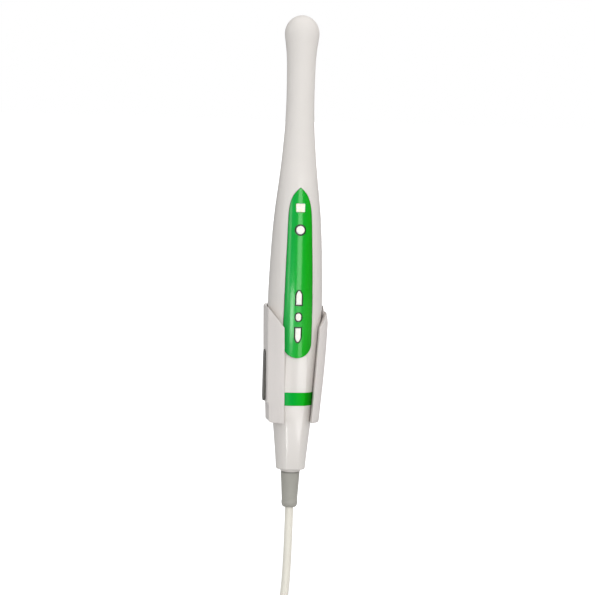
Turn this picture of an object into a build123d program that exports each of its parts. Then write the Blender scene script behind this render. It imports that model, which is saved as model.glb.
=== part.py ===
from build123d import *
from math import sin, cos, tan, atan2, acos, hypot, radians, degrees, sqrt, pi
import os

os.makedirs("parts", exist_ok=True)

# Intraoral camera handpiece hanging upright in its side-mounted cradle, with its cord.
# Millimetres, +Z up along the handpiece, buttons facing -Y, lens facing +Y.
# The origin is the middle of the outer face of the cradle's adhesive pad (its normal is -X).
# "Height" below means the distance above the handpiece's tail end.

# ---- driving dimensions -------------------------------------------------------------------
AXIS_X = 12.85           # handpiece axis to the pad's outer face
TAIL_Z = -40.3           # z of the handpiece's tail end
PARTING_Y = 1.0          # plane where the front and back shells meet

# height, half width (x), half depth (y), centre's y
BODY = [
    (-6.0, 5.75, 5.65, 0.00), (0.0, 6.20, 6.10, 0.00), (6.0, 6.68, 6.52, 0.00), (12.0, 7.25, 7.05, 0.00),
    (18.0, 7.86, 7.60, 0.00), (24.0, 8.45, 8.15, 0.00), (30.0, 9.02, 8.70, 0.00),
    (36.0, 9.58, 9.20, 0.00), (42.0, 10.10, 9.65, 0.00), (48.0, 10.55, 10.05, 0.00),
    (54.0, 10.95, 10.40, 0.00), (60.0, 11.25, 10.70, 0.00), (66.0, 11.48, 10.90, 0.00),
    (72.0, 11.62, 11.00, 0.00), (78.0, 11.58, 10.95, 0.00), (84.0, 11.38, 10.75, 0.00),
    (90.0, 11.13, 10.45, 0.00), (96.0, 10.85, 10.10, 0.02), (102.0, 10.48, 9.65, 0.06),
    (108.0, 10.03, 9.10, 0.12), (114.0, 9.42, 8.42, 0.22), (120.0, 8.68, 7.70, 0.35),
    (126.0, 8.00, 7.03, 0.50), (132.0, 7.38, 6.44, 0.65), (138.0, 6.88, 5.97, 0.80),
    (144.0, 6.42, 5.60, 0.95), (150.0, 6.12, 5.34, 1.06), (158.0, 5.95, 5.18, 1.20),
    (166.0, 5.98, 5.16, 1.35), (172.0, 6.10, 5.21, 1.45), (176.0, 6.29, 5.32, 1.50),
    (179.0, 6.58, 5.48, 1.53), (182.0, 6.98, 5.71, 1.57), (185.5, 7.36, 5.93, 1.60),
]
DOME_RISE = 7.85                              # head's dome above its widest section
DOME_STEPS = [16, 31, 45, 57, 67, 75, 81, 85.5]
HEAD_H = 185.5

HANDLE_WALL, NECK_WALL, HEAD_WALL = 2.3, 1.6, 1.5
CONE_TOP, BAND_TOP = 28.0, 33.7               # tail cone, then the green band, then the shells
SPIGOT_TOP = 36.2

PANEL_PROUD, PANEL_UNDER, PANEL_GAP = 0.25, 1.2, 0.16
BUTTON_TRAVEL = 0.5
CAPTURE_H, UP_H, OK_H, DOWN_H = 103.0, 74.4, 66.2, 58.6
WINDOW_H = 112.3

BOARD_FRONT, BOARD_BACK = -3.4, -2.4
SWITCH_TOP = -4.6
POST_H = (49.5, 89.0)                         # board posts
SHELL_SCREW_H = 39.6

LENS_H = 184.5                                # lens axis height
LENS_FACE_Y = 7.9

CRADLE_LOW, CRADLE_HIGH = 20.7, 70.4
CRADLE_GAP = 0.45
CRADLE_FLAT = ((28.0, -11.77), (70.4, -12.7))   # height and x from the axis of the slanted seat for the pad
PAD_LOW, PAD_HIGH, PAD_HALF = 29.3, 51.3, 2.6

BOOT_END = -16.4
CORD_D = 3.5
CORD_START = -10.3
FLOOR_Z = -130.4
COIL_C = (AXIS_X, 32.0)
COIL_IN, COIL_OUT = 15.6, 30.0
COIL_LOW, COIL_TOP = 0.9, 14.6                # above the floor
PLUG_AXIS_UP = 19.6                           # plug axis above the floor


def section(h):
    """Half width, half depth and centre's y at a height."""
    for (h0, a0, b0, c0), (h1, a1, b1, c1) in zip(BODY, BODY[1:]):
        if h0 <= h <= h1:
            t = (h - h0) / (h1 - h0)
            return a0 + t * (a1 - a0), b0 + t * (b1 - b0), c0 + t * (c1 - c0)
    return BODY[-1][1:]


def front_y(h, x=0.0, grow=0.0):
    """y of the grown form's front surface."""
    a, b, c = section(h)
    return c - (b + grow) * sqrt(max(0.0, 1 - (x / (a + grow)) ** 2))


def shell_wall(h):
    if h <= 114:
        return -HANDLE_WALL
    if h >= 144:
        return -NECK_WALL if h < 179 else -HEAD_WALL
    return -HANDLE_WALL + (HANDLE_WALL - NECK_WALL) * (h - 114) / 30


def form(low, high, grow, dome=False):
    """Solid that follows the handpiece's outside between two stations, grown all round."""
    with BuildPart() as solid:
        for h, a, b, c in BODY:
            if low <= h <= high:
                g = grow(h) if callable(grow) else grow
                with BuildSketch(Plane(origin=(AXIS_X, c, TAIL_Z + h))):
                    Ellipse(a + g, b + g)
        if dome:
            g = grow(HEAD_H) if callable(grow) else grow
            a, b, c = BODY[-1][1:]
            for angle in DOME_STEPS:
                s, k = sin(radians(angle)), cos(radians(angle))
                with BuildSketch(Plane(origin=(AXIS_X, c, TAIL_Z + HEAD_H + (DOME_RISE + g) * s))):
                    Ellipse((a + g) * k, (b + g) * k)
        loft()
    return solid.part


def front_plane(y):
    """Plane facing -Y at a given y: its own x is the row's x from the axis, its own y is the height."""
    return Plane(origin=(AXIS_X, y, TAIL_Z), x_dir=(1, 0, 0), z_dir=(0, -1, 0))


def back_plane(y):
    """Plane facing +Y at a given y: its own x runs the other way, its own y is the height."""
    return Plane(origin=(AXIS_X, y, TAIL_Z), x_dir=(-1, 0, 0), z_dir=(0, 1, 0))


def span(x0, x1, y0, y1, h0, h1):
    """Centre and size of a box given from the axis and by height."""
    centre = (AXIS_X + (x0 + x1) / 2, (y0 + y1) / 2, TAIL_Z + (h0 + h1) / 2)
    return centre, (x1 - x0, y1 - y0, h1 - h0)


# ---- shared forms -------------------------------------------------------------------------
outer_form = form(0, 190, 0, dome=True)
inner_form = form(30, 190, shell_wall, dome=True)

# long shallow facet down the front of the tail: a tilted cylinder of large radius
FACET_R = 24.0
FACET_LOW_Y, FACET_HIGH_Y, FACET_TOP = -5.52, -9.62, 50.0
slope = (FACET_HIGH_Y - FACET_LOW_Y) / FACET_TOP
facet_axis = Vector(0, slope, 1).normalized()
facet_plane = Plane(origin=(AXIS_X, FACET_LOW_Y + FACET_R, TAIL_Z), x_dir=(1, 0, 0), z_dir=facet_axis)
with BuildPart() as facet_tool:
    with BuildSketch(facet_plane.offset(-6)):
        with Locations((0, -FACET_R)):
            Rectangle(30, 10)
        Circle(FACET_R, mode=Mode.SUBTRACT)
    extrude(amount=60)

# outline of the green panel, seen from the front
def outline(g):
    with BuildSketch(front_plane(0)) as shape:
        with BuildLine():
            Spline((0, 120.7 + 1.5 * g), (2.75 + 0.8 * g, 117.8 + 0.6 * g), (4.25 + g, 113.8 + 0.2 * g),
                   (4.95 + g, 107.5), (5.25 + g, 97.5), (5.72 + g, 82.0), (6.0 + g, 67.0), (6.05 + g, 54.8),
                   tangents=((0.75, -0.65), (0, -1)))
            RadiusArc((6.05 + g, 54.8), (0, 54.8 - 6.08 - g), 6.07 + g)
            mirror(about=Plane.YZ)
        make_face()
    return shape.sketch_local


with BuildPart() as recess_tool:
    with BuildSketch(front_plane(0)):
        add(outline(PANEL_GAP))
    extrude(amount=20)
    add(form(36, 132, -PANEL_UNDER - 0.1), mode=Mode.SUBTRACT)

# ---- buttons' outlines --------------------------------------------------------------------
def pointed(height, half_w, half_h, up, grow=0.0):
    """A flat-ended arch outline on the front plane."""
    s = 1 if up else -1
    w, e = half_w + grow, half_h + grow
    with BuildSketch(front_plane(0)) as shape:
        with BuildLine():
            Line((0, height - s * e), (w, height - s * e))
            Line((w, height - s * e), (w, height + s * 0.2))
            ThreePointArc((w, height + s * 0.2), (w * 0.80, height + s * (0.2 + 0.62 * (e - 0.2))),
                          (w * 0.30, height + s * (e - 0.05)))
            Line((w * 0.30, height + s * (e - 0.05)), (0, height + s * e))
            mirror(about=Plane.YZ)
        make_face()
    return shape.sketch_local


def round_outline(height, half_w, half_h, grow=0.0):
    with BuildSketch(front_plane(0)) as shape:
        with Locations((0, height)):
            if abs(half_w - half_h) < 1e-6:
                Circle(half_w + grow)
            else:
                SlotOverall(2 * (half_h + grow), 2 * (half_w + grow), rotation=90)
    return shape.sketch_local


capture_cap, capture_hole, capture_flange, capture_well = (
    round_outline(CAPTURE_H, 1.8, 1.8, g) for g in (0.0, 0.65, 1.02, 1.33))
ok_cap, ok_hole, ok_flange, ok_well = (
    round_outline(OK_H, 1.15, 1.6, g) for g in (0.0, 0.55, 0.85, 1.1))
up_cap, up_hole, up_flange, up_well = (
    pointed(UP_H, 1.15, 2.9, True, g) for g in (0.0, 0.55, 0.85, 1.1))
down_cap, down_hole, down_flange, down_well = (
    pointed(DOWN_H, 1.15, 2.9, False, g) for g in (0.0, 0.55, 0.85, 1.1))

# ---- shells -------------------------------------------------------------------------------
front_centre, front_size = span(-30, 30, -30, PARTING_Y, BAND_TOP + 0.05, 210)
with BuildPart() as front_shell:
    add(outer_form)
    add(facet_tool.part, mode=Mode.SUBTRACT)
    add(inner_form, mode=Mode.SUBTRACT)
    with Locations(front_centre):
        Box(*front_size, mode=Mode.INTERSECT)
    add(recess_tool.part, mode=Mode.SUBTRACT)
    for well in (capture_well, ok_well, up_well, down_well):
        with BuildSketch(front_plane(-6)):
            add(well)
        extrude(amount=12, mode=Mode.SUBTRACT)
    with BuildSketch(front_plane(-5)):
        with Locations((0, WINDOW_H)):
            Rectangle(3.4, 3.4)
    extrude(amount=12, mode=Mode.SUBTRACT)
    with BuildSketch(front_plane(PARTING_Y)):
        with Locations((0, SHELL_SCREW_H)):
            Circle(2.3)
            Circle(0.97, mode=Mode.SUBTRACT)
    extrude(amount=8.6)

back_centre, back_size = span(-30, 30, PARTING_Y, 30, BAND_TOP + 0.05, 210)
with BuildPart() as back_shell:
    add(outer_form)
    with BuildSketch(back_plane(2.0)):                       # round boss that carries the lens window
        with Locations((0, LENS_H)):
            Circle(6.35)
    extrude(amount=LENS_FACE_Y - 2.0)
    lens_rim = faces().sort_by(Axis.Y)[-1]
    fillet(lens_rim.edges(), radius=0.5)
    add(inner_form, mode=Mode.SUBTRACT)
    with Locations(back_centre):
        Box(*back_size, mode=Mode.INTERSECT)
    with BuildSketch(back_plane(PARTING_Y)):
        with Locations((0, LENS_H)):
            Circle(4.95)
    extrude(amount=10, mode=Mode.SUBTRACT)
    with BuildSketch(back_plane(LENS_FACE_Y - 1.1)):
        with Locations((0, LENS_H)):
            Circle(5.5)
    extrude(amount=3, mode=Mode.SUBTRACT)
    for post_h in POST_H:                                     # posts for the main board
        with BuildSketch(back_plane(BOARD_BACK + 0.05)):
            with Locations((0, post_h)):
                Circle(1.8)
        extrude(amount=11.2)
        with BuildSketch(back_plane(BOARD_BACK + 0.05)):
            with Locations((0, post_h)):
                Circle(0.62)
        extrude(amount=4.5, mode=Mode.SUBTRACT)
    with BuildSketch(back_plane(PARTING_Y)):                  # screw boss behind the parting plane
        with Locations((0, SHELL_SCREW_H)):
            Circle(2.6)
    extrude(amount=7.0)
    with BuildSketch(back_plane(PARTING_Y)):
        with Locations((0, SHELL_SCREW_H)):
            Circle(1.15)
    extrude(amount=12, mode=Mode.SUBTRACT)
    with BuildSketch(back_plane(4.5)):
        with Locations((0, SHELL_SCREW_H)):
            Circle(2.1)
    extrude(amount=12, mode=Mode.SUBTRACT)

# ---- green band and tail cone ----------------------------------------------------------------
ring_centre, ring_size = span(-30, 30, -30, 30, CONE_TOP + 0.05, BAND_TOP)
with BuildPart() as green_band:
    add(form(0, 60, 0.0))
    add(facet_tool.part, mode=Mode.SUBTRACT)
    add(form(0, 60, -HANDLE_WALL), mode=Mode.SUBTRACT)
    with Locations(ring_centre):
        Box(*ring_size, mode=Mode.INTERSECT)

spigot_centre, spigot_size = span(-30, 30, -30, 30, CONE_TOP - 0.01, SPIGOT_TOP)
with BuildPart() as spigot_blank:
    add(form(0, 60, -HANDLE_WALL - 0.06))
    with Locations(spigot_centre):
        Box(*spigot_size, mode=Mode.INTERSECT)

cone_centre, cone_size = span(-30, 30, -30, 30, 0, CONE_TOP)
bore_centre, bore_size = span(-30, 30, -30, 30, 24.5, 60)
pocket_centre, pocket_size = span(-30, 30, -30, 30, 2.0, 24.51)
with BuildPart() as cone_pocket:
    add(form(0, 60, -2.0))
    with Locations(pocket_centre):
        Box(*pocket_size, mode=Mode.INTERSECT)
with BuildPart() as cone_bore:
    add(form(0, 60, -3.45))
    with Locations(bore_centre):
        Box(*bore_size, mode=Mode.INTERSECT)
with BuildPart() as tail_cone:
    add(form(0, 60, 0.0))
    add(facet_tool.part, mode=Mode.SUBTRACT)
    with Locations(cone_centre):
        Box(*cone_size, mode=Mode.INTERSECT)
    tail_edges = faces().sort_by(Axis.Z)[0].edges()
    fillet(tail_edges, radius=0.6)
    add(spigot_blank.part)
    add(cone_pocket.part, mode=Mode.SUBTRACT)
    add(cone_bore.part, mode=Mode.SUBTRACT)
    with BuildSketch(Plane(origin=(AXIS_X, 0, TAIL_Z - 0.9))):    # small collar round the boot
        Circle(4.25)
    extrude(amount=1.2)
    with BuildSketch(Plane(origin=(AXIS_X, 0, TAIL_Z - 0.9))):
        Circle(3.45)
    extrude(amount=4, mode=Mode.SUBTRACT)

# ---- green button panel ----------------------------------------------------------------------
with BuildPart() as button_panel:
    with BuildSketch(front_plane(0)):
        add(outline(0))
    extrude(amount=20)
    add(form(36, 132, PANEL_PROUD), mode=Mode.INTERSECT)
    add(form(36, 132, -PANEL_UNDER), mode=Mode.SUBTRACT)
    for hole in (capture_hole, ok_hole, up_hole, down_hole):
        with BuildSketch(front_plane(0)):
            add(hole)
        extrude(amount=20, mode=Mode.SUBTRACT)
    with BuildSketch(front_plane(0)):
        with Locations((0, WINDOW_H)):
            RectangleRounded(3.96, 3.76, 0.5)
    extrude(amount=20, mode=Mode.SUBTRACT)

# ---- indicator window with its light pipe ------------------------------------------------------
window_face = front_y(WINDOW_H, 0, PANEL_PROUD) - 0.05
with BuildPart() as indicator_window:
    with BuildSketch(front_plane(window_face + 1.2)):
        with Locations((0, WINDOW_H)):
            RectangleRounded(3.86, 3.66, 0.45)
    extrude(amount=1.2)
    fillet(faces().sort_by(Axis.Y)[0].edges(), radius=0.2)
    with BuildSketch(front_plane(-4.25)):
        with Locations((0, WINDOW_H)):
            Rectangle(2.6, 2.6)
    extrude(amount=-(window_face + 1.1) - 4.25)

# ---- buttons -----------------------------------------------------------------------------------
def button_levels(h, half, proud):
    """y of the cap's face and of the flange's top, for a button at a height."""
    low = max(front_y(h + d, x, -PANEL_UNDER) for d in (-half[1], half[1]) for x in (0, half[0]))
    return front_y(h, 0, PANEL_PROUD) - proud, low + 0.12


capture_face, capture_top = button_levels(CAPTURE_H, (2.7, 2.7), 0.55)
with BuildPart() as capture_button:
    with BuildSketch(front_plane(capture_top + 0.6)):
        add(capture_flange)
    extrude(amount=0.6)
    with BuildSketch(front_plane(capture_top)):
        add(capture_cap)
    extrude(amount=capture_top - capture_face)
    fillet(faces().sort_by(Axis.Y)[0].edges(), radius=0.45)
    with BuildSketch(front_plane(SWITCH_TOP + 0.2)):
        with Locations((0, CAPTURE_H)):
            Circle(0.8)
    extrude(amount=-(capture_top + 0.5) + SWITCH_TOP + 0.2)

up_face, up_top = button_levels(UP_H, (2.0, 3.8), 0.45)
with BuildPart() as up_button:
    with BuildSketch(front_plane(up_top + 0.6)):
        add(up_flange)
    extrude(amount=0.6)
    with BuildSketch(front_plane(up_top)):
        add(up_cap)
    extrude(amount=up_top - up_face)
    fillet(faces().sort_by(Axis.Y)[0].edges(), radius=0.3)
    with BuildSketch(front_plane(SWITCH_TOP + 0.2)):
        with Locations((0, UP_H)):
            Circle(0.8)
    extrude(amount=-(up_top + 0.5) + SWITCH_TOP + 0.2)

ok_face, ok_top = button_levels(OK_H, (2.0, 2.5), 0.45)
with BuildPart() as ok_button:
    with BuildSketch(front_plane(ok_top + 0.6)):
        add(ok_flange)
    extrude(amount=0.6)
    with BuildSketch(front_plane(ok_top)):
        add(ok_cap)
    extrude(amount=ok_top - ok_face)
    fillet(faces().sort_by(Axis.Y)[0].edges(), radius=0.3)
    with BuildSketch(front_plane(SWITCH_TOP + 0.2)):
        with Locations((0, OK_H)):
            Circle(0.8)
    extrude(amount=-(ok_top + 0.5) + SWITCH_TOP + 0.2)

down_face, down_top = button_levels(DOWN_H, (2.0, 3.8), 0.45)
with BuildPart() as down_button:
    with BuildSketch(front_plane(down_top + 0.6)):
        add(down_flange)
    extrude(amount=0.6)
    with BuildSketch(front_plane(down_top)):
        add(down_cap)
    extrude(amount=down_top - down_face)
    fillet(faces().sort_by(Axis.Y)[0].edges(), radius=0.3)
    with BuildSketch(front_plane(SWITCH_TOP + 0.2)):
        with Locations((0, DOWN_H)):
            Circle(0.8)
    extrude(amount=-(down_top + 0.5) + SWITCH_TOP + 0.2)

# ---- electronics in the handle -------------------------------------------------------------------
with BuildPart() as main_board:
    with BuildSketch(front_plane(BOARD_BACK)):
        with Locations((0, (44.5 + 114.3) / 2)):
            RectangleRounded(10.6, 114.3 - 44.5, 0.8)
        with Locations([(0, h) for h in POST_H]):
            Circle(0.9, mode=Mode.SUBTRACT)
    extrude(amount=BOARD_BACK - BOARD_FRONT)

with BuildPart() as tact_switches:
    with BuildSketch(front_plane(BOARD_FRONT)):
        with Locations([(0, h) for h in (CAPTURE_H, UP_H, OK_H, DOWN_H)]):
            RectangleRounded(3.6, 3.2, 0.3)
    extrude(amount=BOARD_FRONT - SWITCH_TOP)
    with BuildSketch(front_plane(SWITCH_TOP + 0.9)):
        with Locations([(0, h) for h in (CAPTURE_H, UP_H, OK_H, DOWN_H)]):
            Circle(0.95)
    extrude(amount=2, mode=Mode.SUBTRACT)

with BuildPart() as indicator_led:
    with BuildSketch(front_plane(BOARD_FRONT)):
        with Locations((0, WINDOW_H)):
            Rectangle(1.6, 1.2)
    extrude(amount=0.6)

with BuildPart() as board_chips:
    with BuildSketch(front_plane(BOARD_FRONT)):
        with Locations((0, 95.0)):
            RectangleRounded(6.0, 6.0, 0.2)
        with Locations((0, 81.5)):
            RectangleRounded(5.0, 4.0, 0.2)
    extrude(amount=0.9)

with BuildPart() as board_screws:
    for post_h in POST_H:
        with BuildSketch(front_plane(BOARD_FRONT - 0.02)):
            with Locations((0, post_h)):
                Circle(1.5)
        extrude(amount=0.8)
        with BuildSketch(front_plane(BOARD_FRONT - 0.45)):
            with Locations((0, post_h)):
                Rectangle(2.0, 0.35)
                Rectangle(0.35, 2.0)
        extrude(amount=1, mode=Mode.SUBTRACT)
        with BuildSketch(back_plane(BOARD_FRONT - 0.1)):
            with Locations((0, post_h)):
                Circle(0.58)
        extrude(amount=4.8)

with BuildPart() as shell_screw:
    with BuildSketch(back_plane(4.52)):
        with Locations((0, SHELL_SCREW_H)):
            Circle(1.95)
    extrude(amount=1.5)
    with BuildSketch(back_plane(5.2)):
        with Locations((0, SHELL_SCREW_H)):
            Rectangle(2.6, 0.5)
            Rectangle(0.5, 2.6)
    extrude(amount=2, mode=Mode.SUBTRACT)
    with BuildSketch(front_plane(4.6)):
        with Locations((0, SHELL_SCREW_H)):
            Circle(0.93)
    extrude(amount=9.2)

header_centre, header_size = span(-5.0, 5.0, BOARD_BACK + 0.02, 0.2, 52.5, 56.5)
with BuildPart() as wire_header:
    with Locations(header_centre):
        Box(*header_size)
    chamfer(edges().filter_by(Axis.Z), length=0.3)

connector_centre, connector_size = span(-3.0, 3.0, BOARD_BACK + 0.02, -1.1, 103.0, 106.0)
with BuildPart() as flex_connector:
    with Locations(connector_centre):
        Box(*connector_size)

# flat flex cable from the main board up the neck to the sensor board
FLEX = [(-2.30, 106.02), (-2.05, 106.02), (-2.05, 115.0), (-1.27, 127.0), (-1.27, 187.0),
        (-1.52, 187.0), (-1.52, 127.0), (-2.30, 115.0)]
flex_plane = Plane(origin=(AXIS_X - 1.8, 0, TAIL_Z), x_dir=(0, 1, 0), z_dir=(1, 0, 0))
with BuildPart() as camera_flex:
    with BuildSketch(flex_plane):
        with BuildLine():
            Polyline(*FLEX, close=True)
        make_face()
    extrude(amount=3.6)

# ---- camera in the head ---------------------------------------------------------------------------
sensor_centre, sensor_size = span(-3.6, 3.6, -1.2, -0.2, LENS_H - 3.5, LENS_H + 3.5)
with BuildPart() as sensor_board:
    with Locations(sensor_centre):
        Box(*sensor_size)

chip_centre, chip_size = span(-2.1, 2.1, -0.18, 0.62, LENS_H - 2.1, LENS_H + 2.1)
with BuildPart() as image_sensor:
    with Locations(chip_centre):
        Box(*chip_size)

with BuildPart() as lens_holder:
    with BuildSketch(back_plane(-0.18)):
        with Locations((0, LENS_H)):
            RectangleRounded(6.6, 6.6, 0.4)
    extrude(amount=2.4)
    with BuildSketch(back_plane(-0.18)):
        with Locations((0, LENS_H)):
            Rectangle(4.6, 4.6)
    extrude(amount=1.1, mode=Mode.SUBTRACT)
    with BuildSketch(back_plane(-0.18)):
        with Locations((0, LENS_H)):
            Circle(1.5)
    extrude(amount=3, mode=Mode.SUBTRACT)

with BuildPart() as lens_barrel:
    with BuildSketch(back_plane(2.24)):
        with Locations((0, LENS_H)):
            Circle(2.6)
    extrude(amount=4.2)
    fillet(faces().sort_by(Axis.Y)[-1].edges(), radius=0.35)
    with BuildSketch(back_plane(2.24)):
        with Locations((0, LENS_H)):
            Circle(1.2)
    extrude(amount=5, mode=Mode.SUBTRACT)
    with BuildSketch(back_plane(5.3)):
        with Locations((0, LENS_H)):
            Circle(1.75)
    extrude(amount=2, mode=Mode.SUBTRACT)

with BuildPart() as front_lens:
    with BuildSketch(back_plane(5.32)):
        with Locations((0, LENS_H)):
            Circle(1.7)
    extrude(amount=1.0)
    with Locations((AXIS_X, 6.15 - 3.2, TAIL_Z + LENS_H)):
        Sphere(3.2, mode=Mode.INTERSECT)

with BuildPart() as led_board:
    with BuildSketch(back_plane(5.0)):
        with Locations((0, LENS_H)):
            Circle(4.88)
            Circle(2.72, mode=Mode.SUBTRACT)
    extrude(amount=0.6)

with BuildPart() as white_leds:
    with BuildSketch(back_plane(5.61)):
        with Locations((0, LENS_H)):
            with PolarLocations(3.8, 8):
                Rectangle(0.85, 1.55)
    extrude(amount=0.55)

with BuildPart() as lens_window:
    with BuildSketch(back_plane(LENS_FACE_Y - 1.08)):
        with Locations((0, LENS_H)):
            Circle(5.42)
    extrude(amount=1.0)
    fillet(faces().sort_by(Axis.Y)[-1].edges(), radius=0.2)

# ---- cord boot, retainer and wires --------------------------------------------------------------------
with BuildPart() as cord_boot:
    with BuildSketch(Plane(origin=(AXIS_X, 0, TAIL_Z), x_dir=(1, 0, 0), z_dir=(0, -1, 0))):
        with BuildLine():
            Polyline((0, 3.65), (4.0, 3.65), (4.0, 2.05), (3.38, 2.05), (3.38, -0.95), (4.02, -0.95), (4.0, -2.0),
                     (3.34, -13.0))
            Spline((3.34, -13.0), (3.42, -14.2), (3.28, -15.4), (2.65, BOOT_END),
                   tangents=((-0.05, -1), (-0.6, -0.35)))
            Polyline((2.65, BOOT_END), (1.85, BOOT_END), (1.85, CORD_START), (0, CORD_START), (0, 3.65))
        make_face()
    revolve(axis=Axis((AXIS_X, 0, TAIL_Z), (0, 0, 1)), revolution_arc=360)

with BuildPart() as boot_retainer:
    with BuildSketch(Plane(origin=(AXIS_X, 0, TAIL_Z + 3.67))):
        Circle(4.1)
        Circle(2.4, mode=Mode.SUBTRACT)
    extrude(amount=2.4)

wire_blanks = []
for x_top, x_low in ((-4.4, -1.5), (-3.3, -0.5), (3.3, 0.5), (4.4, 1.5)):
    with BuildPart() as wire:
        with BuildLine() as wire_path:
            FilletPolyline((AXIS_X + x_top, -1.1, TAIL_Z + 52.48), (AXIS_X + x_top, -1.1, TAIL_Z + 33.0),
                           (AXIS_X + x_low, 0, TAIL_Z + 12.0), (AXIS_X + x_low, 0, TAIL_Z + 3.7), radius=6)
        with BuildSketch(Plane(origin=(AXIS_X + x_top, -1.1, TAIL_Z + 52.48), z_dir=(0, 0, -1))):
            Circle(0.45)
        sweep(path=wire_path.line)
    wire_blanks.append(wire.part)
with BuildPart() as signal_wires:
    for blank in wire_blanks:
        add(blank)

# ---- cradle and its pad -----------------------------------------------------------------------------
def cradle_wall(h):
    return CRADLE_GAP + 3.0 - 0.65 * (h - 20) / 50


def flat_x(h):
    """x of the pad's slanted seat, from the axis."""
    (h0, x0), (h1, x1) = CRADLE_FLAT
    return x0 + (x1 - x0) * (h - h0) / (h1 - h0)


def tangent_point(h, x, y):
    """Where a line from a point beside the round form touches the form's front."""
    a, b, c = section(h)
    a, b = a + cradle_wall(h), b + cradle_wall(h)
    u, v = x / a, (y - c) / b
    turn = [atan2(v, u) + side * acos(1 / hypot(u, v)) for side in (-1, 1)]
    return min(((a * cos(t), c + b * sin(t)) for t in turn), key=lambda p: p[1])


height_centre, height_size = span(-40, 40, -40, 40, CRADLE_LOW, CRADLE_HIGH)


def corner(x, y):
    """The vertex of the sketch being built that lies at a point."""
    return [v for v in vertices() if abs(v.X - x) < 0.02 and abs(v.Y - y) < 0.02]


# the side wall runs flat from the pad's seat and meets the round form at a tangent
WING = ((CRADLE_LOW, -6.2), (45.5, -7.4), (CRADLE_HIGH, -7.6))
with BuildPart() as wing:
    for wing_h, edge_y in WING:
        edge_x = flat_x(wing_h) - 0.02
        meet_x, meet_y = tangent_point(wing_h, edge_x, edge_y)
        print("wing", wing_h, round(edge_x, 2), edge_y, round(meet_x, 2), round(meet_y, 2))
        with BuildSketch(Plane(origin=(AXIS_X, 0, TAIL_Z + wing_h))):
            with BuildLine():
                Polyline((edge_x, 3.2), (edge_x, edge_y), (meet_x, meet_y), (0, meet_y + 3.0), (0, 3.2), close=True)
            make_face()
            fillet(corner(edge_x, edge_y), radius=1.4)
            fillet(corner(edge_x, 3.2), radius=1.2)
    loft()

with BuildPart() as cradle:
    add(form(12, 78, cradle_wall))
    with Locations(height_centre):
        Box(*height_size, mode=Mode.INTERSECT)
    add(wing.part)
    with BuildSketch(front_plane(0)):
        with BuildLine():
            Polyline((-10.8, CRADLE_LOW), (-11.05, 28.0), (-11.35, PAD_LOW - 0.3), (flat_x(PAD_LOW - 0.3), PAD_LOW - 0.3),
                     (flat_x(CRADLE_HIGH), CRADLE_HIGH), (12.0, CRADLE_HIGH), (14.1, 63.0), (16.6, 58.0), (16.6, 24.0),
                     (12.2, 22.4), (10.7, CRADLE_LOW), close=True)
        make_face()
        fillet(corner(-10.8, CRADLE_LOW), radius=1.0)
        fillet(corner(flat_x(CRADLE_HIGH), CRADLE_HIGH), radius=1.3)
        fillet(corner(12.0, CRADLE_HIGH), radius=0.5)
    extrude(amount=40, both=True, mode=Mode.INTERSECT)
    add(form(12, 78, CRADLE_GAP), mode=Mode.SUBTRACT)
    with BuildSketch(front_plane(-0.5)):
        with BuildLine():
            Polyline((-4.5, 15.0), (6.9, 15.0), (9.45, 61.4), (11.9, 65.8), (15.0, 74.0), (-15.6, 74.0),
                     (-6.0, 61.8), close=True)
        make_face()
    extrude(amount=30, mode=Mode.SUBTRACT)

with BuildPart() as cradle_pad:
    with BuildSketch(front_plane(0)):
        with BuildLine():
            Polyline((-AXIS_X, PAD_LOW), (flat_x(PAD_LOW) - 0.02, PAD_LOW), (flat_x(PAD_HIGH) - 0.02, PAD_HIGH),
                     (-AXIS_X, PAD_HIGH), close=True)
        make_face()
    extrude(amount=PAD_HALF, both=True)
    fillet(edges().filter_by(Axis.X), radius=2.5)

# ---- cord ------------------------------------------------------------------------------------------------
CX, CY = COIL_C


def on_ring(angle, r, up):
    """A point by angle clockwise from the ring's front, radius and height above the floor."""
    a = radians(angle)
    return (CX - r * sin(a), CY - r * cos(a), FLOOR_Z + up)


def arcs(points):
    """One radius for each corner: 0.45 of the shorter run over the tangent of half the turn."""
    v = [Vector(*p) for p in points]
    out = []
    for p, q, s in zip(v, v[1:], v[2:]):
        turn = (q - p).get_angle(s - q)
        out.append(0.45 * min((q - p).length, (s - q).length) / tan(radians(turn) / 2))
    return out


RUN = [(AXIS_X, 0.0, TAIL_Z + CORD_START), (AXIS_X, 0.0, -75.4), (AXIS_X - 1.2, -0.1, -100.4),
       (AXIS_X - 6.7, -1.0, -119.5), (AXIS_X - 17.4, 5.6, FLOOR_Z + 2.3), on_ring(66, 28.2, 2.2)]
run_radii = arcs(RUN)
print("cord_run radii", [round(r, 1) for r in run_radii])
with BuildPart() as cord_run:
    with BuildLine() as run_path:
        FilletPolyline(*RUN, radius=run_radii)
    with BuildSketch(Plane(origin=RUN[0], z_dir=(Vector(*RUN[1]) - Vector(*RUN[0])))):
        Circle(CORD_D / 2)
    sweep(path=run_path.line)
print("cord_run length", round(run_path.wires()[0].length, 1), "volume ratio",
      round(cord_run.part.volume / (run_path.wires()[0].length * pi * (CORD_D / 2) ** 2), 4))

with BuildPart() as cord_coil:
    with BuildSketch(Plane(origin=(CX, CY, FLOOR_Z), x_dir=(1, 0, 0), z_dir=(0, -1, 0))):
        with Locations(((COIL_IN + COIL_OUT) / 2, (COIL_LOW + COIL_TOP) / 2)):
            RectangleRounded(COIL_OUT - COIL_IN, COIL_TOP - COIL_LOW, 2.6)
    revolve(axis=Axis((CX, CY, FLOOR_Z), (0, 0, 1)), revolution_arc=360)

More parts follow.
